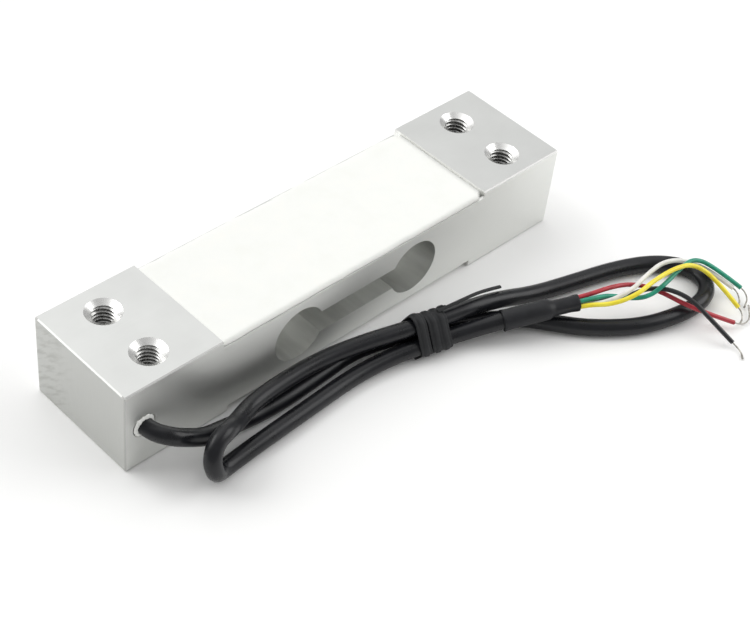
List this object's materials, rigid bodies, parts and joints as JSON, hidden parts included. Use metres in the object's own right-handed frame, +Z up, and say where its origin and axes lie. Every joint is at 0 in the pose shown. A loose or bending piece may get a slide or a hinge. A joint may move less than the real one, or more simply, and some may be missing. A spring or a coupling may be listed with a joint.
{
  "type": "planar beam load cell",
  "caption": "Aluminium single-point load cell: a bar with a two-bore flexure, sealed strain gauges, tapped mounting holes and a tied signal cable with bare wire ends.",
  "frame": {"origin": "centre of the beam's underside", "axes": "+X along the beam from the fixed end, where the cable leaves, to the load end; -Y towards the side that the cable leaves; +Z up, the way the load is applied from"},
  "size_m": [0.1471, 0.0924, 0.022],
  "materials": {
    "beam": "milled, lightly satin",
    "sealant": "white silicone, slightly uneven",
    "cable_jacket": "satin black jacket",
    "tie": "black plastic-coated wire",
    "sleeve": "black shrunk sleeve",
    "wire_red": "coloured insulation",
    "wire_black": "coloured insulation",
    "wire_green": "coloured insulation",
    "wire_white": "coloured insulation",
    "wire_yellow": "coloured insulation",
    "bare_strands": "tinned copper strands",
    "gauge_foil": "polyimide-backed foil",
    "terminal": "glass-epoxy strip with solder pads",
    "inner_leads": "enamelled copper",
    "core_leads": "bundle of insulated cores"
  },
  "bodies": {
    "root": {"beam": "beam", "top_sealant": "sealant", "bottom_sealant": "sealant", "cable_seal": "sealant", "cable": "cable_jacket", "twist_tie": "tie", "heat_shrink_sleeve": "sleeve", "wire_red": "wire_red", "wire_black": "wire_black", "wire_green": "wire_green", "wire_white": "wire_white", "wire_yellow": "wire_yellow", "bare_end_red": "bare_strands", "bare_end_black": "bare_strands", "bare_end_green": "bare_strands", "bare_end_white": "bare_strands", "bare_end_yellow": "bare_strands", "gauge_top_fixed_end": "gauge_foil", "gauge_top_load_end": "gauge_foil", "gauge_bottom_fixed_end": "gauge_foil", "gauge_bottom_load_end": "gauge_foil", "terminal_strip_top": "terminal", "terminal_strip_bottom": "terminal", "gauge_leads_top": "inner_leads", "gauge_leads_bottom": "inner_leads", "core_leads_top": "core_leads", "core_leads_bottom": "core_leads"}
  },
  "joints": []
}
